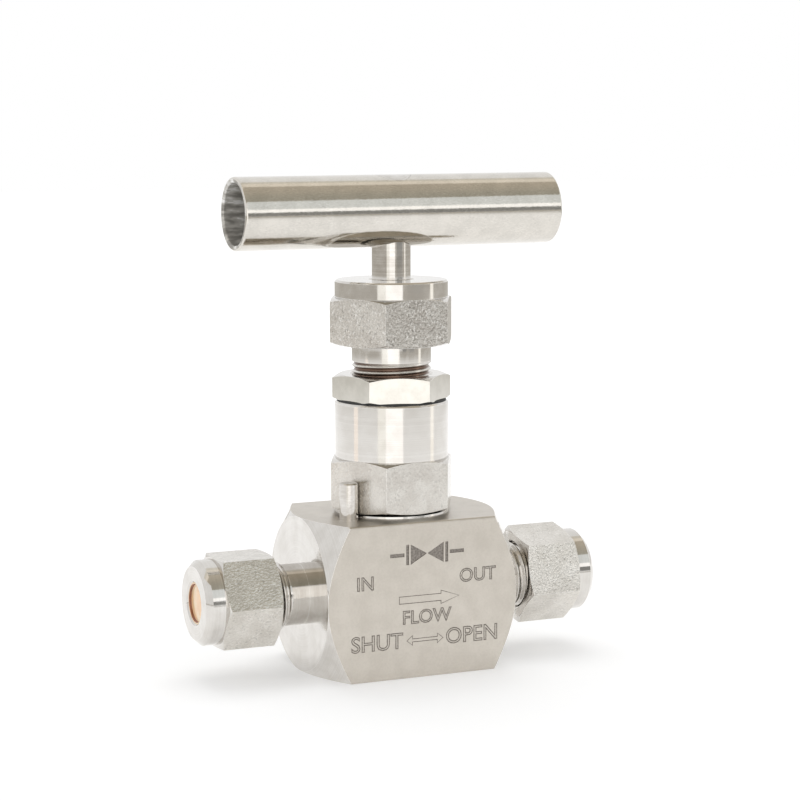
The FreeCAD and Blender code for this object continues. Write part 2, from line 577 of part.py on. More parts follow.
def tube_nut(turn):
    """Tube nut about Z: hexagon, round shoulder, thread, ferrule pocket and tube bore."""
    flat = TUBE_NUT_AF / 2
    nut = hexagon(TUBE_NUT_AF, TUBE_NUT_X, TUBE_NUT_HEX_END_X, turn, flat, flat)
    nut = nut.fuse(revolve([
        (0, TUBE_NUT_HEX_END_X - ROOT),
        (TUBE_NUT_ROUND_RADIUS, TUBE_NUT_HEX_END_X - ROOT),
        (TUBE_NUT_ROUND_RADIUS, TUBE_NUT_END_X - TUBE_NUT_END_CHAMFER),
        (TUBE_NUT_ROUND_RADIUS - TUBE_NUT_END_CHAMFER, TUBE_NUT_END_X),
        (0, TUBE_NUT_END_X),
    ]))
    bore = PORT_THREAD_RADIUS + THREAD_CLEARANCE
    thread_end = PORT_END_X + THREAD_RELIEF
    pocket = mouth_radius(PORT_END_X + FRONT_FERRULE_TAIL / 3) + FERRULE_POCKET_CLEARANCE
    hole = [(0, TUBE_NUT_X), (bore + CORNER_BREAK, TUBE_NUT_X), (bore, TUBE_NUT_X + CORNER_BREAK)]
    hole += thread(bore, FINE_PITCH, TUBE_NUT_X + CORNER_BREAK, thread_end, 1)
    hole += [(bore, thread_end), (pocket, thread_end)]
    hole += [(pocket, FERRULE_POCKET_END_X), (TUBE_NUT_BORE, FERRULE_POCKET_END_X)]
    hole += [(TUBE_NUT_BORE, TUBE_NUT_END_X - TUBE_NUT_BORE_CHAMFER)]
    hole += [(TUBE_NUT_BORE + TUBE_NUT_BORE_CHAMFER, TUBE_NUT_END_X), (0, TUBE_NUT_END_X)]
    return nut.cut(revolve(hole))


def front_ferrule():
    """Conical ferrule in the port's mouth, about Z."""
    tip = PORT_END_X - FRONT_FERRULE_REACH
    tail = BACK_FERRULE_X
    edge = PORT_END_X + FRONT_FERRULE_TAIL / 3
    return revolve([
        (FERRULE_BORE, tip),
        (mouth_radius(tip) - FERRULE_CLEARANCE, tip),
        (mouth_radius(edge) - FERRULE_CLEARANCE, edge),
        (mouth_radius(edge) - FERRULE_CLEARANCE, tail),
        (FERRULE_BORE + BACK_FERRULE_NOSE, tail),
        (FERRULE_BORE, tail - BACK_FERRULE_NOSE),
    ])


def back_ferrule():
    """Small ferrule behind the front one, about Z, whose nose sits in the front one's back."""
    seat = BACK_FERRULE_X
    return revolve([
        (FERRULE_BORE, seat - BACK_FERRULE_NOSE),
        (FERRULE_BORE + BACK_FERRULE_NOSE, seat),
        (BACK_FERRULE_RADIUS, seat),
        (BACK_FERRULE_RADIUS, seat + BACK_FERRULE_LENGTH - CORNER_BREAK),
        (BACK_FERRULE_RADIUS - CORNER_BREAK, seat + BACK_FERRULE_LENGTH),
        (FERRULE_BORE, seat + BACK_FERRULE_LENGTH),
    ])


def shipping_plug():
    """Moulded cap plug in the nut's bore, about Z, hollow behind its dished face."""
    face = TUBE_NUT_END_X - PLUG_RECESS
    outer = TUBE_NUT_BORE - PLUG_CLEARANCE
    inner = outer - PLUG_WALL
    return revolve([
        (0, face - PLUG_DISH - PLUG_WALL),
        (inner, face - PLUG_DISH - PLUG_WALL),
        (inner, face - PLUG_LENGTH),
        (outer, face - PLUG_LENGTH),
        (outer, face - PLUG_DISH),
        (outer - PLUG_DISH, face),
        (inner, face),
        (inner - PLUG_DISH, face - PLUG_DISH),
        (0, face - PLUG_DISH),
    ])


def ports():
    """The pieces on each port, as node name and shape."""
    pieces = {}
    for name, side, turn in (("inlet", -1, INLET_NUT_TURN), ("outlet", 1, OUTLET_NUT_TURN)):
        pieces[name + "_nut"] = on_port(tube_nut(-90 - side * turn), side)
        pieces[name + "_front_ferrule"] = on_port(front_ferrule(), side)
        pieces[name + "_back_ferrule"] = on_port(back_ferrule(), side)
        pieces[name + "_plug"] = on_port(shipping_plug(), side)
    return pieces


def main():
    """Write each node's STEP file."""
    nodes = {
        "valve_body": valve_body(),
        "lock_pin": lock_pin(),
        "bonnet": bonnet(),
        "bonnet_nut": bonnet_nut(),
        "panel_washer": panel_washer(),
        "panel_nut": panel_nut(),
        "packing_nut": packing_nut(),
        "packing_gland": packing_gland(),
        "packing_rings": packing_rings(),
        "packing_washer": packing_washer(),
        "lower_stem": lower_stem(),
        "upper_stem": upper_stem(),
        "handle_tube": handle_tube(),
    }
    nodes.update(ports())
    os.makedirs("parts", exist_ok=True)
    for name, shape in nodes.items():
        shape.exportStep("parts/" + name + ".step")
        print(f"{name:22} {len(shape.Solids)} solids, {shape.Volume:9.2f} mm3, valid {shape.isValid()}")


main()
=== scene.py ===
# %% [markdown]
# A needle valve, made ready for its portrait
#
# The valve is a square steel bar with a tube fitting at each end, a tall bonnet nut and a thin
# panel nut on its neck, a packing nut above them and a short piece of tube as its handle.
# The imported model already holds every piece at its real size, so it is loaded first and never moved.
# What this lesson adds is the surface: rounded edges, cut threads, engraved marks and finishes.

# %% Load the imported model
import json
import math

import bmesh
import bpy
from mathutils import Matrix, Vector


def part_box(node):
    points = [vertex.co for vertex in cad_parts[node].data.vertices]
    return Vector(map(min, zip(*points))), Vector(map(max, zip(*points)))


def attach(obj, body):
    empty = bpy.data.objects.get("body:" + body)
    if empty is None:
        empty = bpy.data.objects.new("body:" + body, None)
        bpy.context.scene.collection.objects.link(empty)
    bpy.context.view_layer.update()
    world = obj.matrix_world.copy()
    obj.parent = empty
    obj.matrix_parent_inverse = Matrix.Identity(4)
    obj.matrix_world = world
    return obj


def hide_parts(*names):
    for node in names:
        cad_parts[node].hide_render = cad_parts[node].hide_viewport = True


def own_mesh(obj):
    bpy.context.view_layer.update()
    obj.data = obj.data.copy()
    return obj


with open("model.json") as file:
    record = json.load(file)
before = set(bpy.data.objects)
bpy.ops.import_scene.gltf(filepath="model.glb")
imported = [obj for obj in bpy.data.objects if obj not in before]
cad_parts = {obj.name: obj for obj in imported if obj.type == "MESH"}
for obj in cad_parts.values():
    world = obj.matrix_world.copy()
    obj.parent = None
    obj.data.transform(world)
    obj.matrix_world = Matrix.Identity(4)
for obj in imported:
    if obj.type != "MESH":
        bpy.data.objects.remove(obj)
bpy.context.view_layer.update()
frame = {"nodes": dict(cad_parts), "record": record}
MM = 0.001
BODY_OF = {node: body for body, nodes in frame["record"]["behaviour"]["bodies"].items() for node in nodes}


def span(node, axis):
    """Lowest and highest place of a node along one axis, 0 for X, 1 for Y and 2 for Z."""
    low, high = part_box(node)
    return low[axis], high[axis]


# %% [markdown]
# The camera
#
# A long lens a third of a metre away sees the valve from its left front and a little from above.
# It could be aimed with a constraint, but three plain angles say the same thing and are easy to change.

# %% Camera
CAMERA_AZIMUTH = math.radians(-23.99)
CAMERA_HEIGHT_ANGLE = math.radians(7.31)
CAMERA_ROLL = math.radians(-0.116)
CAMERA_DISTANCE = 383.1 * MM
CAMERA_TARGET = Vector((1.2, -0.73, 43.62)) * MM
CAMERA_LENS = 105.12
CAMERA_SENSOR = 36.0

back = Vector((
    math.sin(CAMERA_AZIMUTH) * math.cos(CAMERA_HEIGHT_ANGLE),
    -math.cos(CAMERA_AZIMUTH) * math.cos(CAMERA_HEIGHT_ANGLE),
    math.sin(CAMERA_HEIGHT_ANGLE),
))
lens = bpy.data.cameras.new("portrait_camera")
lens.lens = CAMERA_LENS
lens.sensor_width = CAMERA_SENSOR
lens.clip_start = 0.01
camera = bpy.data.objects.new("portrait_camera", lens)
bpy.context.scene.collection.objects.link(camera)
camera.location = CAMERA_TARGET + back * CAMERA_DISTANCE
aim = back.to_track_quat("Z", "Y") @ Matrix.Rotation(CAMERA_ROLL, 3, "Z").to_quaternion()
camera.rotation_euler = aim.to_euler()
bpy.context.scene.camera = camera
bpy.context.scene.view_settings.view_transform = "Standard"
print("camera", [round(value / MM, 1) for value in camera.location])


# %% [markdown]
# Node helpers
#
# A material is a small graph. Wiring it by hand repeats the same three lines for every node, so one
# short function makes a node, sets its properties and joins its inputs, whether they are numbers or
# the outputs of other nodes.

# %% Helpers for shader graphs
def add(tree, kind, settings=None, **inputs):
    """One shader node: settings are its properties, inputs are its sockets, with _ for a space."""
    node = tree.nodes.new("ShaderNode" + kind)
    for name, value in (settings or {}).items():
        setattr(node, name, value)
    for name, value in inputs.items():
        join(tree, value, node.inputs[name.replace("_", " ")])
    return node


def join(tree, value, socket):
    """Put a number or another node's output into a socket."""
    if isinstance(value, bpy.types.NodeSocket):
        tree.links.new(value, socket)
    else:
        socket.default_value = value


def arithmetic(tree, operation, *values):
    """The result of one Math node."""
    node = add(tree, "Math", {"operation": operation})
    for number, value in enumerate(values):
        join(tree, value, node.inputs[number])
    return node.outputs[0]


def mixed(tree, factor, first, second):
    """A colour between two others."""
    node = add(tree, "Mix", {"data_type": "RGBA"})
    join(tree, factor, node.inputs[0])
    join(tree, first, node.inputs[6])
    join(tree, second, node.inputs[7])
    return node.outputs[2]


def rescaled(tree, value, low, high, to_low=0.0, to_high=1.0):
    """A value taken from one range to another, and kept inside it."""
    node = add(tree, "MapRange", {"interpolation_type": "SMOOTHSTEP"}, Value=value)
    for name, number in (("From Min", low), ("From Max", high), ("To Min", to_low), ("To Max", to_high)):
        join(tree, number, node.inputs[name])
    return node.outputs[0]


def place(tree):
    """Where a point lies on the object, in metres."""
    return add(tree, "TexCoord").outputs["Object"]


def grain(tree, sizes, detail=2.0, roughness=0.5):
    """Noise whose grains have the given length along X, Y and Z, in metres."""
    scale = Vector([1.0 / size for size in sizes])
    spot = add(tree, "Mapping", {"vector_type": "POINT"}, Vector=place(tree), Scale=scale)
    noise = add(
        tree, "TexNoise", Vector=spot.outputs[0], Scale=1.0, Detail=detail, Roughness=roughness
    )
    return noise.outputs[0]


def tone(red, green, blue):
    """A colour with full cover."""
    return (red, green, blue, 1.0)


def start_finish(name):
    """A new material with an empty graph, its shader and its output."""
    material = bpy.data.materials.new(name)
    material.use_nodes = True
    tree = material.node_tree
    tree.nodes.clear()
    shader = add(tree, "BsdfPrincipled")
    out = add(tree, "OutputMaterial")
    tree.links.new(shader.outputs[0], out.inputs["Surface"])
    return material, tree, shader


print("shader helpers ready")


# %% [markdown]
# The stage
#
# Polished steel is a mirror, so it looks like whatever stands around it. A white world alone would
# leave it flat. A real studio hangs cards round the piece instead, and the same is done here: bright
# cards in front and at the sides, a tan card overhead and a darker ring where the table ends. Only
# reflections see the cards, so the background stays white. The floor is white paint with a faint glow
# of its own, which grows with distance, so that it meets the background without a line.

# %% Stage
FLOOR_HALF = 2.0
RING_INNER = 0.24
RING_OUTER = 0.54
RING_HALF = 1.6
RING_HEIGHT = 0.2 * MM
GLOW_FROM, GLOW_TO = 0.10, 0.30
GLOW_NEAR, GLOW_FAR = 0.27, 0.50
GLOW_MIRRORED = 0.39
CEILING_HALF_WIDTH = 1.0
CEILING_FRONT, CEILING_BACK = -0.9, 0.34
CEILING_HEIGHT = 0.75


def flat_sheet(name, corners):
    """One flat four-cornered face."""
    mesh = bpy.data.meshes.new(name)
    mesh.from_pydata(corners, [], [list(range(len(corners)))])
    sheet = bpy.data.objects.new(name, mesh)
    bpy.context.scene.collection.objects.link(sheet)
    return sheet


def square(half, height):
    """The corners of a level square round the valve."""
    return [(x * half, y * half, height) for x, y in ((-1, -1), (1, -1), (1, 1), (-1, 1))]


def glow(name, colour, strength):
    """A card's material: plain light of one colour."""
    material = bpy.data.materials.new(name)
    material.use_nodes = True
    tree = material.node_tree
    tree.nodes.clear()
    light = add(tree, "Emission", Color=colour, Strength=strength)
    out = add(tree, "OutputMaterial")
    tree.links.new(light.outputs[0], out.inputs["Surface"])
    return material, tree, light, out


def only_reflections(sheet):
    """Let a card be seen by reflections alone."""
    sheet.visible_camera = False
    sheet.visible_diffuse = False
    sheet.visible_transmission = False
    sheet.visible_shadow = False


def backdrop_rays(tree):
    """1 for rays that see the white background: camera, glossy and transmission rays."""
    path = add(tree, "LightPath")
    seen = arithmetic(tree, "MAXIMUM", path.outputs["Is Camera Ray"], path.outputs["Is Glossy Ray"])
    return arithmetic(tree, "MAXIMUM", seen, path.outputs["Is Transmission Ray"])


floor = flat_sheet("white_floor", square(FLOOR_HALF, 0))
floor_material, floor_tree, floor_light, floor_out = glow("white_floor", tone(1, 1, 1), 0.0)
from_valve = add(floor_tree, "VectorMath", {"operation": "LENGTH"}, Vector=place(floor_tree)).outputs["Value"]
rays = add(floor_tree, "LightPath").outputs
in_metal = arithmetic(floor_tree, "MAXIMUM", rays["Is Glossy Ray"], rays["Is Transmission Ray"])
seen_glow = arithmetic(
    floor_tree, "MULTIPLY", rays["Is Camera Ray"],
    rescaled(floor_tree, from_valve, GLOW_FROM, GLOW_TO, GLOW_NEAR, GLOW_FAR)
)
mirrored_glow = arithmetic(floor_tree, "MULTIPLY", in_metal, GLOW_MIRRORED)
join(floor_tree, arithmetic(floor_tree, "ADD", seen_glow, mirrored_glow), floor_light.inputs["Strength"])
paint = add(floor_tree, "BsdfDiffuse", Color=tone(0.8, 0.8, 0.8))
both = add(floor_tree, "AddShader")
floor_tree.links.new(floor_light.outputs[0], both.inputs[0])
floor_tree.links.new(paint.outputs[0], both.inputs[1])
floor_tree.links.new(both.outputs[0], floor_out.inputs["Surface"])
floor.data.materials.append(floor_material)

ring = flat_sheet("table_edge_card", square(RING_HALF, RING_HEIGHT))
ring_material, ring_tree, ring_light, ring_out = glow("table_edge_card", tone(0.60, 0.575, 0.53), 1.0)
distance = add(ring_tree, "VectorMath", {"operation": "LENGTH"}, Vector=place(ring_tree)).outputs["Value"]
clear = add(ring_tree, "BsdfTransparent")
choice = add(ring_tree, "MixShader", Fac=rescaled(ring_tree, distance, RING_INNER, RING_OUTER))
ring_tree.links.new(clear.outputs[0], choice.inputs[1])
ring_tree.links.new(ring_light.outputs[0], choice.inputs[2])
ring_tree.links.new(choice.outputs[0], ring_out.inputs["Surface"])
ring.data.materials.append(ring_material)
only_reflections(ring)

ceiling = flat_sheet("ceiling_card", [
    (-CEILING_HALF_WIDTH, CEILING_FRONT, CEILING_HEIGHT), (CEILING_HALF_WIDTH, CEILING_FRONT, CEILING_HEIGHT),
    (CEILING_HALF_WIDTH, CEILING_BACK, CEILING_HEIGHT), (-CEILING_HALF_WIDTH, CEILING_BACK, CEILING_HEIGHT),
])
ceiling_material, ceiling_tree, ceiling_light = glow("ceiling_card", tone(1, 1, 1), 1.0)[:3]
across = add(ceiling_tree, "SeparateXYZ", Vector=place(ceiling_tree)).outputs[1]
shades = mixed(
    ceiling_tree, rescaled(ceiling_tree, across, -0.6, 0.0), tone(0.47, 0.445, 0.375), tone(0.59, 0.53, 0.435)
)
for low, high, colour in ((0.02, 0.07, tone(1.0, 0.92, 0.80)), (0.17, 0.22, tone(0.82, 0.78, 0.70))):
    shades = mixed(ceiling_tree, rescaled(ceiling_tree, across, low, high), shades, colour)
join(ceiling_tree, shades, ceiling_light.inputs["Color"])
ceiling.data.materials.append(ceiling_material)
only_reflections(ceiling)


def standing_card(name, direction_angle, distance, wide, bands):
    """A card that stands on the floor and faces the valve, in bands of its own light from low to high."""
    turn = math.radians(direction_angle)
    foot = Vector((math.sin(turn), -math.cos(turn), 0)) * distance
    side = Vector((math.cos(turn), math.sin(turn), 0)) * wide / 2
    for number, (low, high, colour, strength) in enumerate(bands):
        card = flat_sheet(f"{name}_{number}", [
            foot - side + Vector((0, 0, low)), foot + side + Vector((0, 0, low)),
            foot + side + Vector((0, 0, high)), foot - side + Vector((0, 0, high)),
        ])
        card.data.materials.append(glow(f"{name}_{number}", colour, strength)[0])
        only_reflections(card)


FRONT_FAR, STRIP_FAR, WINDOW_FAR = 0.165, 0.20, 0.50
CARD_LOW, CARD_TOP = 0.001, 0.12
standing_card("front_card_left", -43.0, FRONT_FAR, 0.046, [(CARD_LOW, CARD_TOP, tone(1.0, 0.99, 0.95), 1.30)])
standing_card("front_card_right", -18.0, FRONT_FAR, 0.10, [(CARD_LOW, CARD_TOP, tone(1.0, 0.99, 0.98), 1.60)])
standing_card("right_strip", 64.5, STRIP_FAR, 0.030, [(CARD_LOW, CARD_TOP, tone(1.0, 0.98, 0.93), 1.45)])
standing_card("left_strip", -99.0, STRIP_FAR, 0.034, [(CARD_LOW, 0.024, tone(1.0, 0.93, 0.87), 1.40)])
standing_card("window_card", 27.0, WINDOW_FAR, 0.34, [
    (0.030, 0.118, tone(0.33, 0.33, 0.32), 1.0),
    (0.118, 0.200, tone(1.0, 1.0, 1.0), 1.5),
    (0.200, 0.450, tone(0.90, 0.93, 0.93), 1.02),
])

world = bpy.data.worlds.new("white_studio")
bpy.context.scene.world = world
world.use_nodes = True
world_tree = world.node_tree
world_tree.nodes.clear()
world_light = add(world_tree, "Background", Color=tone(1, 1, 1))
world_strength = rescaled(world_tree, backdrop_rays(world_tree), 0.0, 1.0, 0.75, 1.0)
join(world_tree, world_strength, world_light.inputs["Strength"])
world_out = add(world_tree, "OutputWorld")
world_tree.links.new(world_light.outputs[0], world_out.inputs["Surface"])


def lamp(name, direction_angle, height_angle, distance, width, height, power):
    """A soft panel that faces the valve, its direction in degrees from the front and from the floor."""
    turn, rise = math.radians(direction_angle), math.radians(height_angle)
    towards = Vector((math.sin(turn) * math.cos(rise), -math.cos(turn) * math.cos(rise), math.sin(rise)))
    light = bpy.data.lights.new(name, "AREA")
    light.shape = "RECTANGLE"
    light.size = width
    light.size_y = height
    light.energy = power
    panel = bpy.data.objects.new(name, light)
    bpy.context.scene.collection.objects.link(panel)
    panel.location = CAMERA_TARGET + towards * distance
    panel.rotation_euler = towards.to_track_quat("Z", "Y").to_euler()
    return panel


lamp("front_panel", -34, 9, 0.62, 0.26, 0.12, 0.20)
top_panel = lamp("top_panel", 165, 72, 0.70, 0.50, 0.50, 1.5)
top_panel.visible_glossy = False
lamp("right_panel", 70, 30, 0.80, 0.20, 0.40, 0.18)


# %% [markdown]
# Steel finishes
#
# All the metal is one stainless steel, but each surface was worked in its own way. The bar's flats are
# satin and faintly mottled. The hexagons keep the crystalline skin of drawn bar, whose glitter is painted
# into the colour as bright and dark flecks, painted glints, that come in patches. The handle is polished
# along its length. One function makes all of these: noise says where the flecks are, and broader noise says
# where they gather.

# %% Steel skins
FLECK_PATCH = 2.2 * MM


def steel(name, dark, light, rough, grain_size, mottle=3.0 * MM, depth=0.01 * MM, strength=0.3, flecks=0.0):
    """A steel finish. rough is a pair of roughnesses, grain_size the grains along X, Y and Z. flecks is how
    strongly painted glints, bright and dark, show in the colour.
    """
    material, tree, shader = start_finish(name)
    fine = grain(tree, grain_size, detail=3.0, roughness=0.6)
    broad = grain(tree, (mottle,) * 3, detail=3.0)
    shade = arithmetic(
        tree, "ADD", arithmetic(tree, "MULTIPLY", fine, 0.45), arithmetic(tree, "MULTIPLY", broad, 0.55)
    )
    colour = mixed(tree, rescaled(tree, shade, 0.3, 0.7), dark, light)
    # Painted glints: bright and dark flecks in the colour stand in for the glitter of the crystalline skin.
    if flecks:
        patches = rescaled(
            tree, grain(tree, (FLECK_PATCH,) * 3, detail=1.0), 0.38, 0.56, 0.25 * flecks, flecks
        )
        dark_glint_grain = grain(tree, [size * 0.8 for size in grain_size], detail=1.0)
        for seen, painted_glint in ((dark_glint_grain, tone(0.22, 0.21, 0.19)), (fine, tone(0.95, 0.94, 0.92))):
            cover = arithmetic(tree, "MULTIPLY", rescaled(tree, seen, 0.56, 0.67), patches)
            colour = mixed(tree, cover, colour, painted_glint)
    join(tree, colour, shader.inputs["Base Color"])
    join(tree, rescaled(tree, fine, 0.3, 0.7, rough[0], rough[1]), shader.inputs["Roughness"])
    shader.inputs["Metallic"].default_value = 1.0
    bump = add(tree, "Bump", Strength=strength, Distance=depth, Height=fine)
    tree.links.new(bump.outputs[0], shader.inputs["Normal"])
    return material


STEEL_DARK = tone(0.54, 0.51, 0.47)
STEEL_LIGHT = tone(0.68, 0.66, 0.62)
UPRIGHT_GRAIN = (0.32 * MM, 0.32 * MM, 0.5 * MM)
LYING_GRAIN = (0.42 * MM, 0.32 * MM, 0.32 * MM)
satin_bar = steel(
    "satin_bar_steel", tone(0.53, 0.492, 0.438), tone(0.61, 0.57, 0.512), (0.30, 0.42), (0.35 * MM,) * 3
)
upright_skin = steel(
    "drawn_hexagon_steel", STEEL_DARK, STEEL_LIGHT, (0.14, 0.28), UPRIGHT_GRAIN,
    depth=0.075 * MM, strength=0.8, flecks=0.5
)
bonnet_skin = steel(
    "drawn_bonnet_nut_steel", STEEL_DARK, STEEL_LIGHT, (0.14, 0.26), UPRIGHT_GRAIN,
    depth=0.04 * MM, strength=0.6, flecks=0.2
)
lying_skin = steel(
    "drawn_tube_nut_steel", tone(0.60, 0.57, 0.52), tone(0.76, 0.735, 0.69), (0.12, 0.24), LYING_GRAIN,
    depth=0.075 * MM, strength=0.8, flecks=0.28
)
polished_flats = steel(
    "polished_nut_steel", tone(0.60, 0.58, 0.53), tone(0.68, 0.66, 0.61), (0.05, 0.11), (1.5 * MM,) * 3,
    strength=0.1
)
polished_tube = steel(
    "polished_tube_steel", tone(0.59, 0.565, 0.52), tone(0.69, 0.66, 0.61), (0.06, 0.13),
    (0.5 * MM, 0.2 * MM, 0.2 * MM), depth=0.012 * MM, strength=0.3, flecks=0.12
)
# Painted highlight: the rounds on the edges take a much lighter steel, which paints in the bright edge lines.
painted_edge_highlight = steel(
    "painted_edge_highlight_steel", tone(0.80, 0.79, 0.76), tone(0.93, 0.92, 0.90), (0.10, 0.22), (0.4 * MM,) * 3,
    strength=0.2
)
print("skins", satin_bar.name, upright_skin.name, lying_skin.name, polished_flats.name, polished_tube.name)


# %% [markdown]
# Turned steel
#
# A lathe leaves fine rings about the axis it turned the piece on. A picture of rings would have to be
# wrapped round each piece. Noise that depends only on how far a point is from the axis, and how far
# along it, gives the same rings on every turned piece at once.

# %% Turned steel
PORT_AXIS = Vector((0, 0, 12.7 * MM))
HANDLE_AXIS = Vector((0, 0, 74.6 * MM))
GROOVE_FADE = 0.2 * MM


def from_axis(tree, lying, centre):
    """How far a point is from a turning axis and how far along it, in metres."""
    spot = add(tree, "Mapping", {"vector_type": "POINT"}, Vector=place(tree), Location=-centre)
    parts = add(tree, "SeparateXYZ", Vector=spot.outputs[0]).outputs
    along, first, second = (parts[0], parts[1], parts[2]) if lying else (parts[2], parts[0], parts[1])
    squares = [arithmetic(tree, "MULTIPLY", value, value) for value in (first, second)]
    return arithmetic(tree, "SQRT", arithmetic(tree, "ADD", *squares)), along


def turned(
    name, dark, light, rough, lying=False, centre=Vector(), ring=0.12 * MM, depth=0.004 * MM, dark_grooves=None
):
    """Steel from the lathe: fine rings about an axis. dark_grooves is the heights and radii where the grooves
    are coloured dark brown.
    """
    material, tree, shader = start_finish(name)
    radius, along = from_axis(tree, lying, centre)
    spot = add(tree, "CombineXYZ", X=radius, Y=along)
    rings = add(
        tree, "TexNoise", {"noise_dimensions": "2D"}, Vector=spot.outputs[0], Scale=1.0 / ring, Detail=2.0
    ).outputs[0]
    broad = grain(tree, (2.5 * MM,) * 3, detail=3.0)
    shade = arithmetic(
        tree, "ADD", arithmetic(tree, "MULTIPLY", rings, 0.35), arithmetic(tree, "MULTIPLY", broad, 0.65)
    )
    colour = mixed(tree, rescaled(tree, shade, 0.3, 0.7), dark, light)
    # Darker brown in the thread's grooves, between two heights and darkest at the smallest radius.
    if dark_grooves:
        low, high, depth_from, depth_to = dark_grooves
        deep = rescaled(tree, radius, depth_from, depth_to, 1.0, 0.0)
        inside = arithmetic(
            tree, "MULTIPLY", rescaled(tree, along, low, low + GROOVE_FADE),
            rescaled(tree, along, high, high + GROOVE_FADE, 1.0, 0.0)
        )
        colour = mixed(tree, arithmetic(tree, "MULTIPLY", deep, inside), colour, tone(0.15, 0.10, 0.075))
    join(tree, colour, shader.inputs["Base Color"])
    join(tree, rescaled(tree, broad, 0.3, 0.7, rough[0], rough[1]), shader.inputs["Roughness"])
    shader.inputs["Metallic"].default_value = 1.0
    bump = add(tree, "Bump", Strength=0.2, Distance=depth, Height=rings)
    tree.links.new(bump.outputs[0], shader.inputs["Normal"])
    return material


TURNED_DARK = tone(0.60, 0.575, 0.54)
TURNED_LIGHT = tone(0.70, 0.68, 0.65)
upright_turned = turned("turned_steel", TURNED_DARK, TURNED_LIGHT, (0.07, 0.14))
lying_turned = turned(
    "turned_port_steel", TURNED_DARK, TURNED_LIGHT, (0.06, 0.12), lying=True, centre=PORT_AXIS
)
ground = turned("ground_stem_steel", STEEL_DARK, TURNED_LIGHT, (0.06, 0.12), ring=0.3 * MM, depth=0.002 * MM)
neck_turned = turned(
    "turned_neck_steel", TURNED_DARK, TURNED_LIGHT, (0.08, 0.16),
    dark_grooves=(44.0 * MM, 50.2 * MM, 6.12 * MM, 6.40 * MM)
)
print("turned", upright_turned.name, lying_turned.name, ground.name, neck_turned.name)


# %% [markdown]
# Inside the handle
#
# The tube was drawn over a mandrel, so its bore is duller than its outside and has streaks along it.
# The brightest streaks are painted reflections of light along the bore. The streaks depend only on the angle
# round the tube, which an arctangent gives.

# %% The handle's bore
def streaked(name, centre):
    """Dull steel with streaks along a lying tube, the brightest of them painted reflections."""
    material, tree, shader = start_finish(name)
    spot = add(tree, "Mapping", {"vector_type": "POINT"}, Vector=place(tree), Location=-centre)
    parts = add(tree, "SeparateXYZ", Vector=spot.outputs[0]).outputs
    angle = arithmetic(tree, "ARCTAN2", parts[2], parts[1])
    point = add(tree, "CombineXYZ", X=angle, Y=arithmetic(tree, "MULTIPLY", parts[0], 60.0))
    streaks_and_reflections = add(
        tree, "TexNoise", {"noise_dimensions": "2D"}, Vector=point.outputs[0], Scale=4.0, Detail=3.0
    ).outputs[0]
    colour = mixed(tree, rescaled(tree, streaks_and_reflections, 0.35, 0.6), tone(0.30, 0.285, 0.26), tone(0.62, 0.6, 0.56))
    # Painted reflections: the brightest streaks turn near white.
    colour = mixed(tree, rescaled(tree, streaks_and_reflections, 0.6, 0.68), colour, tone(0.95, 0.94, 0.92))
    join(tree, colour, shader.inputs["Base Color"])
    shader.inputs["Metallic"].default_value = 0.35
    shader.inputs["Roughness"].default_value = 0.42
    bump = add(tree, "Bump", Strength=0.4, Distance=0.02 * MM, Height=streaks_and_reflections)
    tree.links.new(bump.outputs[0], shader.inputs["Normal"])
    return material


drawn_bore_and_reflections = streaked("drawn_bore_painted_reflections_steel", HANDLE_AXIS)
print("bore", drawn_bore_and_reflections.name)


# %% [markdown]
# Plastic and rubber
#
# The shipping plugs are a soft, slightly see-through orange plastic, the washer is matt black rubber
# and the packing rings are white. None of them is one flat colour: a moulded piece is a little
# cloudy, and rubber is dusty.

# %% Moulded finishes
def moulded(name, dark, light, rough, size, coat=0.0, strength=0.1):
    """A moulded finish: a cloudy colour and a soft, uneven gloss."""
    material, tree, shader = start_finish(name)
    cloud = grain(tree, (size,) * 3, detail=2.0)
    fine = grain(tree, (0.15 * MM,) * 3, detail=1.0)
    colour = mixed(tree, rescaled(tree, cloud, 0.35, 0.65), dark, light)
    join(tree, colour, shader.inputs["Base Color"])
    join(tree, rescaled(tree, fine, 0.3, 0.7, rough[0], rough[1]), shader.inputs["Roughness"])
    shader.inputs["Coat Weight"].default_value = coat
    bump = add(tree, "Bump", Strength=strength, Distance=0.01 * MM, Height=fine)
    tree.links.new(bump.outputs[0], shader.inputs["Normal"])
    return material


orange_plastic = moulded(
    "orange_plug_plastic", tone(1.0, 0.62, 0.33), tone(1.0, 0.76, 0.46), (0.12, 0.2), 2.5 * MM, coat=0.5
)
# Painted shade: the plug's cup wall, which little light reaches, is a dark brown orange.
plug_wall_painted_shade = moulded(
    "plug_cup_wall_painted_shade", tone(0.26, 0.075, 0.02), tone(0.34, 0.11, 0.035), (0.2, 0.3), 1.0 * MM, coat=0.3
)
black_rubber = moulded(
    "black_rubber", tone(0.012, 0.012, 0.012), tone(0.03, 0.03, 0.03), (0.6, 0.75), 1.0 * MM
)
white_packing = moulded("white_packing", tone(0.82, 0.82, 0.78), tone(0.9, 0.9, 0.87), (0.4, 0.5), 1.0 * MM)
FINISH = {
    "body_steel": satin_bar, "nut_steel": upright_skin, "tube_nut_steel": lying_skin,
    "panel_nut_steel": polished_flats, "turned_steel": upright_turned, "stem_steel": ground,
    "handle_steel": polished_tube, "pin_steel": ground, "orange_plastic": orange_plastic,
    "black_rubber": black_rubber, "ptfe": white_packing,
}
print("finishes", sorted(FINISH))


# %% [markdown]
# Rounded edges
#
# No real edge is perfectly sharp: the tumbling barrel leaves every corner with a tiny round, and that
# round is the thin bright line that makes metal look like metal. The model's pieces have sharp edges,
# and their meshes must not change, so a copy is welded, its flat faces are joined and a Bevel
# modifier rounds what is left.

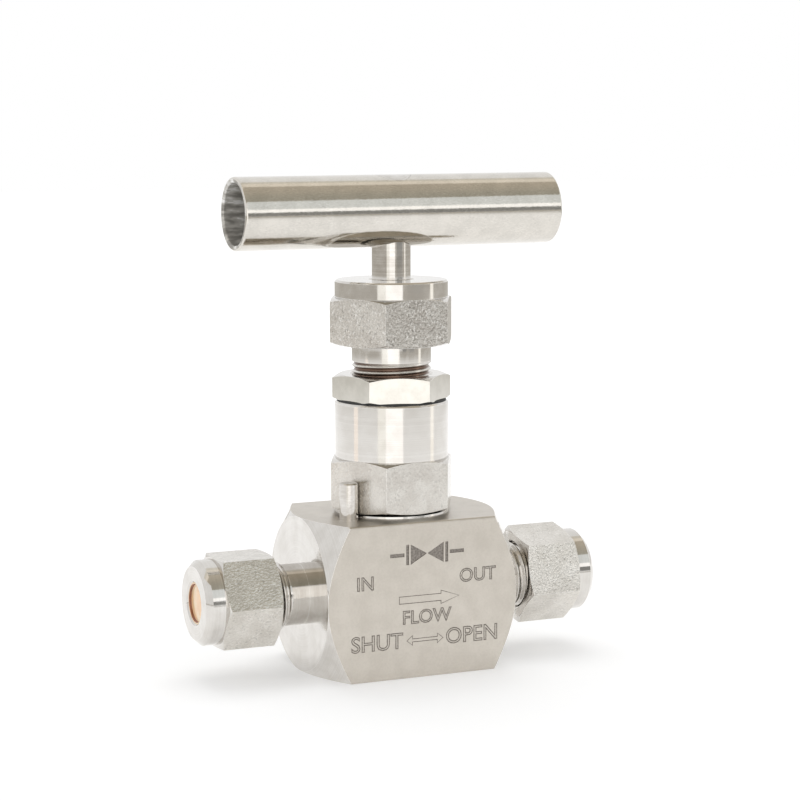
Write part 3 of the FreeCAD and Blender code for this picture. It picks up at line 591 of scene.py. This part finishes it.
# %% Rounded copies of the machined pieces
WELD_WITHIN = 1e-7
NEARLY = 0.01 * MM


def welded(node):
    """A node's triangles joined into whole faces, as a new mesh to work on."""
    shape = bmesh.new()
    shape.from_mesh(frame["nodes"][node].data)
    bmesh.ops.remove_doubles(shape, verts=shape.verts, dist=WELD_WITHIN)
    bmesh.ops.dissolve_limit(
        shape, angle_limit=math.radians(0.3), verts=shape.verts, edges=shape.edges, delimit={"NORMAL"}
    )
    return shape


def new_piece(name, shape):
    """An object made from a finished bmesh."""
    mesh = bpy.data.meshes.new(name)
    shape.to_mesh(mesh)
    shape.free()
    piece = bpy.data.objects.new(name, mesh)
    bpy.context.scene.collection.objects.link(piece)
    return piece


def settled(piece):
    """Turn a piece's modifiers into plain mesh."""
    graph = bpy.context.evaluated_depsgraph_get()
    mesh = bpy.data.meshes.new_from_object(piece.evaluated_get(graph))
    piece.modifiers.clear()
    piece.data = mesh
    return piece


def round_edges(piece, width):
    """Round the sharp edges of a piece and give the rounds its last material, the painted edge highlight."""
    bevel = piece.modifiers.new("edges", "BEVEL")
    bevel.width = width
    bevel.segments = 2
    bevel.limit_method = "ANGLE"
    bevel.angle_limit = math.radians(28)
    bevel.use_clamp_overlap = True
    bevel.material = len(piece.data.materials) - 1
    return settled(piece)


def shade(piece, flat_beyond=None):
    """Smooth shading, but faces larger than flat_beyond stay flat."""
    piece.data.shade_smooth()
    piece.data.set_sharp_from_angle(angle=math.radians(50))
    if flat_beyond:
        for face in piece.data.polygons:
            squarely = max(abs(value) for value in face.normal) >= 0.9999
            face.use_smooth = face.area < flat_beyond or not squarely
    weighted = piece.modifiers.new("shading", "WEIGHTED_NORMAL")
    weighted.weight = 100
    weighted.keep_sharp = True
    return settled(piece)


SLOT_OF = {part["node"]: part["material_slot"] for part in frame["record"]["subparts"]}


def paint_faces(piece, materials, choose):
    """Give each face of a piece the material that choose(centre, normal) names by its number."""
    piece.data.materials.clear()
    for material in materials:
        piece.data.materials.append(material)
    for face in piece.data.polygons:
        face.material_index = choose(face.center, face.normal)


def stand_for(piece, node):
    """Let a piece stand in for a node: it joins the node's body and the node is hidden."""
    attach(piece, BODY_OF[node])
    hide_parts(node)
    print(piece.name, len(piece.data.polygons))


print("slots", sorted(set(SLOT_OF.values())))


# %% [markdown]
# The five nuts
#
# A nut starts as hexagon bar, and the lathe then turns its ends round. So the six flats keep the
# bar's skin, and all the rest of it is turned. Faces could be picked by hand, but a rule is surer: a
# flat is a face that looks away from the axis and lies as far from it as any face of that nut.

# %% The five nuts
EDGE_ROUND = 0.16 * MM
FLAT_AREA = 10 * MM * MM
FLAT_WITHIN = 0.05 * MM
NUTS = {
    "packing_nut": (False, upright_skin),
    "bonnet_nut": (False, bonnet_skin),
    "panel_nut": (False, polished_flats),
    "inlet_nut": (True, lying_skin),
    "outlet_nut": (True, lying_skin),
}


def flat_finder(piece, lying):
    """A test for a nut's six flats: upright faces that are as far from the axis as any can be."""
    centre = PORT_AXIS if lying else Vector()
    axis = Vector((1, 0, 0)) if lying else Vector((0, 0, 1))

    def reach(spot, normal):
        return (spot - centre).dot(normal) if abs(normal.dot(axis)) < 0.02 else 0.0

    faces = [face for face in piece.data.polygons if face.area > FLAT_AREA]
    furthest = max(reach(face.center, face.normal) for face in faces)
    return lambda spot, normal: 0 if reach(spot, normal) > furthest - FLAT_WITHIN else 1


for node, (lying, skin) in NUTS.items():
    nut = new_piece(node + "_rounded", welded(node))
    paint_faces(nut, [skin, lying_turned if lying else upright_turned, painted_edge_highlight], flat_finder(nut, lying))
    stand_for(shade(round_edges(nut, EDGE_ROUND)), node)


# %% [markdown]
# The handle tube
#
# The handle is a short piece of polished tube with its ends cut square. Its outside and its bore need
# different finishes, so each face is sorted by how far it lies from the tube's own axis. Its edges
# are rounded less than the nuts', because a cut tube end is only lightly deburred.

# %% The handle tube
HANDLE_ROUND = 0.12 * MM
BORE_INSIDE = 0.5 * MM
handle = new_piece("handle_tube_rounded", welded("handle_tube"))
handle_low, handle_high = span("handle_tube", 2)
bore_radius = (handle_high - handle_low) / 2 - BORE_INSIDE


def in_bore(spot, normal):
    """1 for the faces of the handle's bore."""
    return 1 if math.hypot(spot.y - HANDLE_AXIS.y, spot.z - HANDLE_AXIS.z) < bore_radius else 0


paint_faces(handle, [polished_tube, drawn_bore_and_reflections, painted_edge_highlight], in_bore)
stand_for(shade(round_edges(handle, HANDLE_ROUND)), "handle_tube")


# %% [markdown]
# Marks on the front of the bar
#
# The front face is engraved. The marks here are general ones: the sign that a piping drawing uses for
# a valve, arrows for the flow and the handle, and plain words for the two ports and the handle. A mark
# is a shallow prism or a thin closed tube that follows an outline. The body's face is cut with all of
# them at once, so the lines are real grooves and not a picture.

# %% Engraved marks
LINE_RADIUS = 0.09 * MM
FACE_Y = span("valve_body", 1)[0]
engraved_line, engraved_tree, engraved_shader = start_finish("engraved_line")
engraved_colour = mixed(
    engraved_tree, rescaled(engraved_tree, grain(engraved_tree, (0.3 * MM,) * 3), 0.3, 0.7),
    tone(0.19, 0.17, 0.15), tone(0.32, 0.29, 0.26)
)
join(engraved_tree, engraved_colour, engraved_shader.inputs["Base Color"])
engraved_shader.inputs["Metallic"].default_value = 0.6
engraved_shader.inputs["Roughness"].default_value = 0.5


def to_face(mesh, x, z):
    """Lay a flat drawing on the front face, with its middle at a place."""
    mesh.transform(Matrix.Translation((x, FACE_Y, z)) @ Matrix.Rotation(math.radians(90), 4, "X"))
    return mesh


def curve_mesh(curve):
    """A curve's solid outline as a mesh."""
    thing = bpy.data.objects.new("drawing", curve)
    bpy.context.scene.collection.objects.link(thing)
    graph = bpy.context.evaluated_depsgraph_get()
    mesh = bpy.data.meshes.new_from_object(thing.evaluated_get(graph))
    bpy.data.objects.remove(thing)
    return mesh


def outlined_word(word, height, x, z):
    """A word in thin outlines, centred at a place on the front face."""
    curve = bpy.data.curves.new("word", "FONT")
    curve.body = word
    curve.size = height * 1.4
    curve.align_x = "CENTER"
    curve.align_y = "CENTER"
    curve.fill_mode = "NONE"
    curve.resolution_u = 4
    curve.bevel_depth = LINE_RADIUS
    curve.bevel_resolution = 1
    return to_face(curve_mesh(curve), x, z)


def outlined_shape(points, x, z):
    """A closed outline through points in millimetres, at a place on the front face."""
    curve = bpy.data.curves.new("outline", "CURVE")
    curve.dimensions = "3D"
    curve.bevel_depth = LINE_RADIUS
    curve.bevel_resolution = 1
    line = curve.splines.new("POLY")
    line.points.add(len(points) - 1)
    for spot, (along, up) in zip(line.points, points):
        spot.co = (along * MM, up * MM, 0, 1)
    line.use_cyclic_u = True
    return to_face(curve_mesh(curve), x, z)


def filled_shape(points, x, z, depth=0.12 * MM):
    """A filled mark: a shallow prism with the given outline."""
    shape = bmesh.new()
    corners = [shape.verts.new((along * MM, up * MM, -depth)) for along, up in points]
    face = shape.faces.new(corners)
    lifted = bmesh.ops.extrude_face_region(shape, geom=[face])
    for thing in lifted["geom"]:
        if isinstance(thing, bmesh.types.BMVert):
            thing.co.z += 2 * depth
    bmesh.ops.recalc_face_normals(shape, faces=shape.faces)
    mesh = bpy.data.meshes.new("filled")
    shape.to_mesh(mesh)
    shape.free()
    return to_face(mesh, x, z)


SIGN_PLACE = (0.6 * MM, 20.25 * MM)
VALVE_SIGN = [
    [(-2.9, -1.65), (-0.15, -0.08), (-0.15, 0.08), (-2.9, 1.65)],
    [(2.9, -1.65), (2.9, 1.65), (0.15, 0.08), (0.15, -0.08)],
    [(-6.5, -0.3), (-4.0, -0.3), (-4.0, 0.3), (-6.5, 0.3)],
    [(4.0, -0.3), (6.5, -0.3), (6.5, 0.3), (4.0, 0.3)],
    [(-3.7, -1.65), (-3.2, -1.65), (-3.2, 1.65), (-3.7, 1.65)],
    [(3.2, -1.65), (3.7, -1.65), (3.7, 1.65), (3.2, 1.65)],
]
ARROW = [(-4.9, -0.58), (2.44, -0.58), (2.44, -1.1), (5.66, 0), (2.44, 1.1), (2.44, 0.58), (-4.9, 0.58)]
TURN_ARROW = [
    (-3.2, 0), (-2.2, 0.8), (-2.2, 0.25), (2.2, 0.25), (2.2, 0.8),
    (3.2, 0), (2.2, -0.8), (2.2, -0.25), (-2.2, -0.25), (-2.2, -0.8),
]
PORT_WORD, TURN_WORD = 2.2 * MM, 2.6 * MM
marks = [filled_shape(points, *SIGN_PLACE) for points in VALVE_SIGN]
marks += [
    outlined_word("IN", PORT_WORD, -10.2 * MM, 16.0 * MM),
    outlined_word("OUT", PORT_WORD, 9.6 * MM, 16.0 * MM),
    outlined_shape(ARROW, 0.6 * MM, 12.9 * MM),
    outlined_word("FLOW", PORT_WORD, 0.5 * MM, 9.9 * MM),
    outlined_word("SHUT", TURN_WORD, -8.2 * MM, 6.2 * MM),
    outlined_word("OPEN", TURN_WORD, 8.6 * MM, 6.2 * MM),
    outlined_shape(TURN_ARROW, 0.2 * MM, 6.2 * MM),
]
cutter_shape = bmesh.new()
for mesh in marks:
    cutter_shape.from_mesh(mesh)
cutter = new_piece("marks", cutter_shape)
cutter.data.materials.append(engraved_line)
print("marks", len(marks), "faces", len(cutter.data.polygons))


# %% [markdown]
# The body
#
# The body is a length of square bar. Its two ends were turned down to the ports, and its top was
# turned to the collar that the bonnet nut sits on. Each surface gets the finish of the tool that made
# it. The collar's top edge is lowered a little, so that the dark line under the nut can be seen.

# %% The body
ABOVE_BAR = 25.45 * MM
TURNED_WITHIN = 12.2 * MM
COLLAR_TOP = 26.05 * MM
COLLAR_EDGE = 8.6 * MM
COLLAR_GAP = 0.3 * MM


def body_surface(spot, normal):
    """0 for the bar's flats, 1 for what was turned about the ports, 2 for the collar and neck."""
    if spot.z > ABOVE_BAR:
        return 2
    from_ports = math.hypot(spot.y, spot.z - PORT_AXIS.z)
    return 0 if abs(normal.x) < 0.3 and from_ports > TURNED_WITHIN else 1


shape = welded("valve_body")
for vertex in shape.verts:
    if abs(vertex.co.z - COLLAR_TOP) < NEARLY and math.hypot(*vertex.co.xy) > COLLAR_EDGE:
        vertex.co.z -= COLLAR_GAP
body = new_piece("valve_body_rounded", shape)
paint_faces(body, [satin_bar, lying_turned, upright_turned, painted_edge_highlight], body_surface)
round_edges(body, EDGE_ROUND)
engrave = body.modifiers.new("engrave", "BOOLEAN")
engrave.operation = "DIFFERENCE"
engrave.object = cutter
engrave.solver = "EXACT"
engrave.use_self = True
engrave.material_mode = "TRANSFER"
settled(body)
bpy.data.objects.remove(cutter)
stand_for(shade(body, flat_beyond=0.5 * MM * MM), "valve_body")


# %% [markdown]
# Threads
#
# A thread is a groove that climbs as it goes round. On a fine enough mesh that is one rule for every
# point: how far it is along the axis, less its share of a turn, says how deep the groove is there. So
# the neck and the port threads are plain turned shapes, and one Geometry Nodes tree moves their points.

# %% A tree that cuts a thread
def thread_tree():
    """Geometry Nodes: move the points of an upright turned mesh inwards along a helix."""
    tree = bpy.data.node_groups.new("cut_thread", "GeometryNodeTree")
    tree.interface.new_socket("Geometry", in_out="INPUT", socket_type="NodeSocketGeometry")
    for name in ("Pitch", "Depth", "Low", "High", "Beyond Radius", "Fade"):
        tree.interface.new_socket(name, in_out="INPUT", socket_type="NodeSocketFloat")
    tree.interface.new_socket("Finish", in_out="INPUT", socket_type="NodeSocketMaterial")
    tree.interface.new_socket("Geometry", in_out="OUTPUT", socket_type="NodeSocketGeometry")
    inputs = tree.nodes.new("NodeGroupInput").outputs

    def number(operation, *values):
        node = tree.nodes.new("ShaderNodeMath")
        node.operation = operation
        for place_number, value in enumerate(values):
            join(tree, value, node.inputs[place_number])
        return node.outputs[0]

    position = tree.nodes.new("GeometryNodeInputPosition")
    parts = tree.nodes.new("ShaderNodeSeparateXYZ")
    tree.links.new(position.outputs[0], parts.inputs[0])
    x, y, z = parts.outputs
    radius = number("SQRT", number("ADD", number("MULTIPLY", x, x), number("MULTIPLY", y, y)))
    turns = number("DIVIDE", number("SUBTRACT", z, inputs["Low"]), inputs["Pitch"])
    share = number("DIVIDE", number("ARCTAN2", y, x), 2 * math.pi)
    phase = number("FRACT", number("SUBTRACT", turns, share))
    slope = number("MULTIPLY", number("ABSOLUTE", number("SUBTRACT", phase, 0.5)), 2.0)
    groove = number("DIVIDE", number("SUBTRACT", 0.875, slope), 0.625)
    groove = number("MINIMUM", number("MAXIMUM", groove, 0.0), 1.0)
    for rise in (number("SUBTRACT", z, inputs["Low"]), number("SUBTRACT", inputs["High"], z)):
        ends = number("MINIMUM", number("MAXIMUM", number("DIVIDE", rise, inputs["Fade"]), 0.0), 1.0)
        groove = number("MULTIPLY", groove, ends)
    groove = number("MULTIPLY", groove, number("GREATER_THAN", radius, inputs["Beyond Radius"]))
    pull = number("DIVIDE", number("MULTIPLY", groove, inputs["Depth"]), radius)
    inwards = number("MULTIPLY", pull, -1.0)
    offset = tree.nodes.new("ShaderNodeCombineXYZ")
    tree.links.new(number("MULTIPLY", inwards, x), offset.inputs[0])
    tree.links.new(number("MULTIPLY", inwards, y), offset.inputs[1])
    move = tree.nodes.new("GeometryNodeSetPosition")
    tree.links.new(inputs["Geometry"], move.inputs["Geometry"])
    tree.links.new(offset.outputs[0], move.inputs["Offset"])
    real = tree.nodes.new("GeometryNodeRealizeInstances")
    tree.links.new(move.outputs[0], real.inputs[0])
    finish = tree.nodes.new("GeometryNodeSetMaterial")
    tree.links.new(real.outputs[0], finish.inputs["Geometry"])
    tree.links.new(inputs["Finish"], finish.inputs["Material"])
    out = tree.nodes.new("NodeGroupOutput")
    tree.links.new(finish.outputs[0], out.inputs[0])
    return tree


CUT_THREAD = thread_tree()
THREAD_FADE = 0.3 * MM


def cut_thread(piece, **sizes):
    """Run the thread tree on a piece and keep its result."""
    modifier = piece.modifiers.new("thread", "NODES")
    modifier.node_group = CUT_THREAD
    items = CUT_THREAD.interface.items_tree
    sockets = {item.name: item.identifier for item in items if item.in_out == "INPUT"}
    for name, value in sizes.items():
        modifier[sockets[name.replace("_", " ")]] = value
    return settled(piece)


def lathed(name, outline, segments=96):
    """A closed outline of (radius, height) points turned about the upright axis."""
    shape = bmesh.new()
    rings = []
    for radius, height in outline:
        spots = [2 * math.pi * number / segments for number in range(segments)]
        if radius == 0:
            rings.append([shape.verts.new((0, 0, height))] * segments)
        else:
            rings.append([
                shape.verts.new((radius * math.cos(angle), radius * math.sin(angle), height))
                for angle in spots
            ])
    for ring, following in zip(rings, rings[1:] + rings[:1]):
        for number in range(segments):
            after = (number + 1) % segments
            corners = [ring[number], ring[after], following[after], following[number]]
            corners = [corner for spot, corner in enumerate(corners) if corner not in corners[:spot]]
            if len(corners) > 2:
                shape.faces.new(corners)
    bmesh.ops.recalc_face_normals(shape, faces=shape.faces)
    return new_piece(name, shape)


print("thread tree nodes", len(CUT_THREAD.nodes))


# %% [markdown]
# The threaded neck
#
# The panel nut runs on the bonnet's neck. In the model the neck's thread is a band of plain rings, so
# that band is taken out of a copy, filled again with close rows of points and cut by the tree. The
# pitch drawn here, 1.0 mm, is finer than the 1.27 mm of the model's rings and of the nut's travel.

# %% The threaded neck
NECK_LOW, NECK_HIGH = 44.05 * MM, 50.2413 * MM
NECK_ROWS = 76
NECK_CORE = 5.2 * MM


def loop_at(shape, height):
    """The open edge loop at a height, sorted round the axis."""
    spots = {vertex for edge in shape.edges if edge.is_boundary for vertex in edge.verts}
    ring = [vertex for vertex in spots if abs(vertex.co.z - height) < NEARLY]
    return sorted(ring, key=lambda vertex: math.atan2(vertex.co.y, vertex.co.x))


shape = welded("bonnet")
band = [
    face for face in shape.faces
    if all(
        NECK_LOW - NEARLY < vertex.co.z < NECK_HIGH + NEARLY and math.hypot(*vertex.co.xy) > NECK_CORE
        for vertex in face.verts
    )
]
bmesh.ops.delete(shape, geom=band, context="FACES")
low_loop, high_loop = loop_at(shape, NECK_LOW), loop_at(shape, NECK_HIGH)
print("neck loops", len(low_loop), len(high_loop))
rows = [low_loop]
for number in range(1, NECK_ROWS):
    height = NECK_LOW + (NECK_HIGH - NECK_LOW) * number / NECK_ROWS
    rows.append([shape.verts.new((vertex.co.x, vertex.co.y, height)) for vertex in low_loop])
rows.append(high_loop)
for row, following in zip(rows, rows[1:]):
    for number in range(len(row)):
        after = (number + 1) % len(row)
        shape.faces.new([row[number], row[after], following[after], following[number]])
neck = new_piece("bonnet_threaded", shape)
cut_thread(
    neck, Pitch=1.0 * MM, Depth=0.42 * MM, Low=NECK_LOW, High=NECK_HIGH, Beyond_Radius=5.5 * MM,
    Fade=THREAD_FADE, Finish=neck_turned
)
stand_for(shade(neck), "bonnet")


# %% [markdown]
# Threads behind the tube nuts
#
# A tube nut doesn't quite reach the bar, so two or three turns of its port's thread show behind it.
# Only that short length is made: a thin sleeve with close rows of points, cut by the same tree and
# turned on to its port. It belongs to the body.

# %% Threads behind the tube nuts
PORT_THREAD = [(4.85, 19.8), (5.0, 19.8)] + [(5.48, 20.1 + 0.06 * row) for row in range(47)] + [(4.85, 22.92)]


def to_port(piece, side):
    """Lay an upright turned piece on the ports' axis, pointing left for -1 and right for 1."""
    piece.data.transform(Matrix.Translation(PORT_AXIS) @ Matrix.Rotation(math.radians(90 * side), 4, "Y"))


for name, side in (("inlet_port_thread", -1), ("outlet_port_thread", 1)):
    ring = lathed(name, [(radius * MM, along * MM) for radius, along in PORT_THREAD])
    cut_thread(
        ring, Pitch=1.27 * MM, Depth=0.45 * MM, Low=19.9 * MM, High=23.2 * MM, Beyond_Radius=4.95 * MM,
        Fade=THREAD_FADE, Finish=lying_turned
    )
    to_port(ring, side)
    shade(ring)
    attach(ring, "valve")
    print(ring.name, len(ring.data.polygons))


# %% [markdown]
# Shipping plugs
#
# A plug keeps dirt out of a port until the tube is fitted. It is a thin moulded cap with a shallow cup
# in its outer end, and its rim spreads a little into the nut's mouth. It is round, so one outline
# turned about the port's axis makes it. Little light reaches the cup's wall, so it is a darker orange.

# %% Shipping plugs
CUP_FLOOR = 2.9 * MM
plug_radius = (span("inlet_plug", 1)[1] - span("inlet_plug", 1)[0]) / 2
plug_low, plug_high = span("outlet_plug", 0)
rim = plug_high + 0.22 * MM
PLUG = [
    (0, rim - 0.36 * MM), (1.6 * MM, rim - 0.38 * MM), (2.6 * MM, rim - 0.42 * MM),
    (plug_radius - 0.22 * MM, rim - 0.40 * MM), (plug_radius - 0.06 * MM, rim - 0.03 * MM),
    (plug_radius, rim),
    (plug_radius + 0.10 * MM, rim), (plug_radius + 0.165 * MM, rim - 0.03 * MM),
    (plug_radius + 0.15 * MM, rim - 0.08 * MM), (plug_radius, plug_high), (plug_radius, plug_low + 0.3 * MM),
    (plug_radius - 0.2 * MM, plug_low), (plug_radius - 0.8 * MM, plug_low),
    (plug_radius - 0.8 * MM, plug_high - 0.8 * MM), (0, plug_high - 0.8 * MM),
]


def cup_wall(spot, normal):
    """1 for the wall of the cup in a plug's end, which faces the axis."""
    out = Vector((0, spot.y, spot.z)) - PORT_AXIS
    return 1 if out.length > CUP_FLOOR and normal.dot(out.normalized()) < -0.5 else 0


for node, side in (("inlet_plug", -1), ("outlet_plug", 1)):
    plug = lathed(node + "_moulded", PLUG)
    to_port(plug, side)
    paint_faces(plug, [orange_plastic, plug_wall_painted_shade], cup_wall)
    stand_for(shade(plug), node)


# %% [markdown]
# Soft packing
#
# The packing nut pushes the gland 0.4 mm into the packing rings, which are soft and seal by being
# squeezed. A copy of the rings takes their place, with a mesh of its own.

# %% A copy of the packing rings
rings = new_piece("packing_rings_soft", welded("packing_rings"))
paint_faces(rings, [white_packing], lambda spot, normal: 0)
stand_for(shade(rings), "packing_rings")
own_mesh(rings)


# %% [markdown]
# Pieces that stay as modelled
#
# The rest already have the right shape, so they only take their finish, in their own material slots.

# %% Finishes on the other nodes
REMADE = set(NUTS) | {"handle_tube", "valve_body", "bonnet", "inlet_plug", "outlet_plug", "packing_rings"}
for node, thing in frame["nodes"].items():
    if node not in REMADE:
        thing.data.materials.clear()
        thing.data.materials.append(FINISH[SLOT_OF[node]])
print("dressed", len(frame["nodes"]) - len(REMADE))
